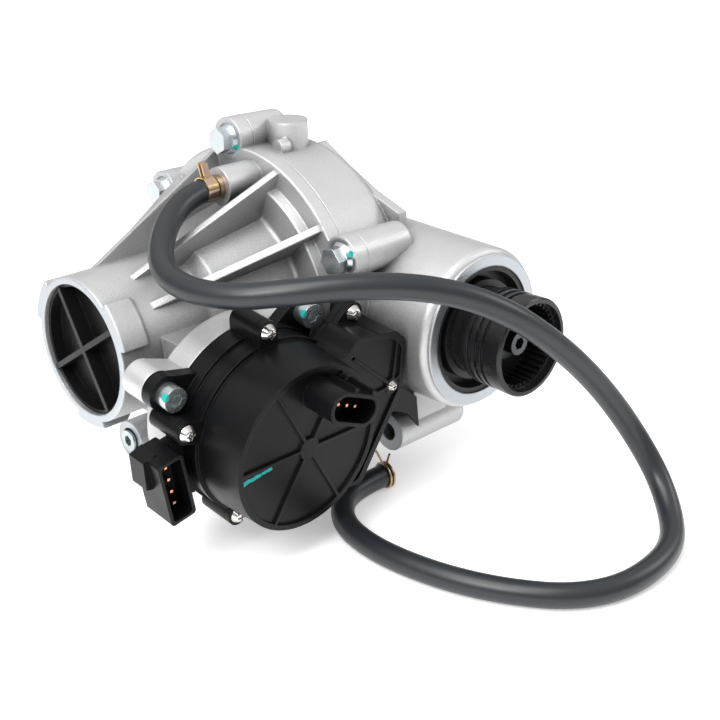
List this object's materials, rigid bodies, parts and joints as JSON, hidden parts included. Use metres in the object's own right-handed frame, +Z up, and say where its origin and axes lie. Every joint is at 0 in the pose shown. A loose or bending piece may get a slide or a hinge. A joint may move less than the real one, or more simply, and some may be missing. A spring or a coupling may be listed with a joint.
{
  "type": "vehicle differential",
  "caption": "Axle differential with a bevel drive in a ribbed two-piece case, a splined input coupler, an electric lock actuator on the front and a looped breather hose.",
  "frame": {"origin": "centre of the left axle port's mouth, on the axle line", "axes": "+X along the axle into the case, -Y out of the propshaft coupler, +Z up"},
  "size_m": [0.2437, 0.37, 0.1994],
  "materials": {
    "cast_aluminium": "sand-grained die casting, light warm grey",
    "machined_aluminium": "turned face",
    "zinc_steel": "bluish zinc plating",
    "nickel_steel": "bright nickel",
    "yellow_zinc": "yellow chromate zinc",
    "gear_steel": "ground and oiled",
    "black_steel": "black oxide, satin",
    "black_plastic": "glass-filled, satin moulded",
    "plug_plastic": "smooth moulded",
    "seal_rubber": "smooth rubber",
    "hose_rubber": "smooth satin slate grey",
    "copper_pin": "plated contact",
    "brass_steel": "sintered bronze"
  },
  "bodies": {
    "housing": {"main_case": "cast_aluminium", "left_cover": "cast_aluminium", "cover_bolts": "zinc_steel", "long_cover_screw": "zinc_steel", "cover_o_ring": "seal_rubber", "dowel_pins": "gear_steel", "fill_plug": "zinc_steel", "drain_plug": "zinc_steel", "plug_washers": "brass_steel", "left_axle_seal": "seal_rubber", "right_axle_seal": "seal_rubber", "pinion_seal": "seal_rubber", "axle_bearing_outer": "gear_steel", "carrier_bearing_outers": "gear_steel", "pinion_bearing_outers": "gear_steel", "fork_rod": "gear_steel", "actuator_base": "black_plastic", "actuator_cover": "black_plastic", "actuator_gasket": "seal_rubber", "actuator_o_ring": "seal_rubber", "actuator_cap_screws": "zinc_steel", "actuator_cover_screws": "nickel_steel", "actuator_small_screw": "nickel_steel", "side_socket_pins": "copper_pin", "top_socket_pins": "copper_pin", "motor": "gear_steel", "breather_nipple": "yellow_zinc", "breather_hose": "hose_rubber", "hose_clip_fixed": "yellow_zinc", "hose_clip_free": "yellow_zinc"},
    "left_plug": {"left_port_plug": "plug_plastic"},
    "right_plug": {"right_port_plug": "plug_plastic"},
    "pinion": {"pinion_shaft": "gear_steel", "propshaft_coupler": "black_steel", "coupler_screw": "zinc_steel", "coupler_washer": "zinc_steel", "pinion_spacer": "gear_steel", "pinion_bearing_inners": "gear_steel", "pinion_bearing_rollers": "gear_steel"},
    "carrier": {"carrier_body": "gear_steel", "ring_gear": "gear_steel", "ring_gear_bolts": "black_steel", "cross_pin": "gear_steel", "cross_pin_lock": "gear_steel", "lock_dog_ring": "gear_steel", "gear_washers": "brass_steel", "carrier_bearing_inners": "gear_steel", "carrier_bearing_rollers": "gear_steel"},
    "left_output": {"left_output_shaft": "gear_steel", "left_side_gear": "gear_steel", "axle_bearing_inner": "gear_steel", "axle_bearing_rollers": "gear_steel"},
    "right_gear": {"right_side_gear": "gear_steel"},
    "top_spider": {"spider_gear_top": "gear_steel"},
    "bottom_spider": {"spider_gear_bottom": "gear_steel"},
    "collar": {"lock_collar": "gear_steel"},
    "fork": {"shift_fork": "gear_steel"},
    "lock_drive": {"output_drive": "gear_steel"},
    "idler": {"idler_gear": "gear_steel"},
    "motor_rotor": {"motor_pinion": "brass_steel"}
  },
  "joints": [
    {"name": "left_plug_pull", "type": "slide", "parent": "housing", "child": "left_plug", "axis": [-1, 0, 0], "range_m": [0, 0.03]},
    {"name": "right_plug_pull", "type": "slide", "parent": "housing", "child": "right_plug", "axis": [1, 0, 0], "range_m": [0, 0.03]},
    {"name": "carrier_spin", "type": "hinge", "parent": "housing", "child": "carrier", "pos_m": [0.16, 0, 0], "axis": [1, 0, 0], "continuous": true},
    {"name": "pinion_spin", "type": "hinge", "parent": "housing", "child": "pinion", "pos_m": [0.17, 0, 0], "axis": [0, -1, 0], "continuous": true},
    {"name": "left_output_spin", "type": "hinge", "parent": "carrier", "child": "left_output", "pos_m": [0.16, 0, 0], "axis": [1, 0, 0], "continuous": true},
    {"name": "right_gear_spin", "type": "hinge", "parent": "carrier", "child": "right_gear", "pos_m": [0.16, 0, 0], "axis": [1, 0, 0], "continuous": true},
    {"name": "top_spider_spin", "type": "hinge", "parent": "carrier", "child": "top_spider", "pos_m": [0.16, 0, 0], "axis": [0, 0, 1], "continuous": true},
    {"name": "bottom_spider_spin", "type": "hinge", "parent": "carrier", "child": "bottom_spider", "pos_m": [0.16, 0, 0], "axis": [0, 0, 1], "continuous": true},
    {"name": "lock_drive_turn", "type": "hinge", "parent": "housing", "child": "lock_drive", "pos_m": [0.05, -0.124, -0.03], "axis": [0, 0.9962, 0.0872], "range_deg": [0, 90]},
    {"name": "fork_slide", "type": "slide", "parent": "housing", "child": "fork", "axis": [1, 0, 0], "range_m": [0, 0.00942]},
    {"name": "collar_slide", "type": "slide", "parent": "left_output", "child": "collar", "axis": [1, 0, 0], "range_m": [0, 0.00943]},
    {"name": "idler_turn", "type": "hinge", "parent": "housing", "child": "idler", "pos_m": [0.07467, -0.12478, -0.02106], "axis": [0, 0.9962, 0.0872], "range_deg": [-288.5, 0]},
    {"name": "motor_turn", "type": "hinge", "parent": "housing", "child": "motor_rotor", "pos_m": [0.09833, -0.12496, -0.01899], "axis": [0, 0.9962, 0.0872], "range_deg": [0, 807]}
  ],
  "couplings": [
    {"joint": "pinion_spin", "follows": "carrier_spin", "ratio": 3.5},
    {"joint": "right_gear_spin", "follows": "left_output_spin", "ratio": -1},
    {"joint": "top_spider_spin", "follows": "left_output_spin", "ratio": 1.4},
    {"joint": "bottom_spider_spin", "follows": "left_output_spin", "ratio": -1.4},
    {"joint": "lock_drive_turn", "follows": "fork_slide", "rad_per_m": 166.67},
    {"joint": "collar_slide", "follows": "fork_slide", "ratio": 1},
    {"joint": "idler_turn", "follows": "fork_slide", "rad_per_m": -533.33},
    {"joint": "motor_turn", "follows": "fork_slide", "rad_per_m": 1493.3}
  ]
}
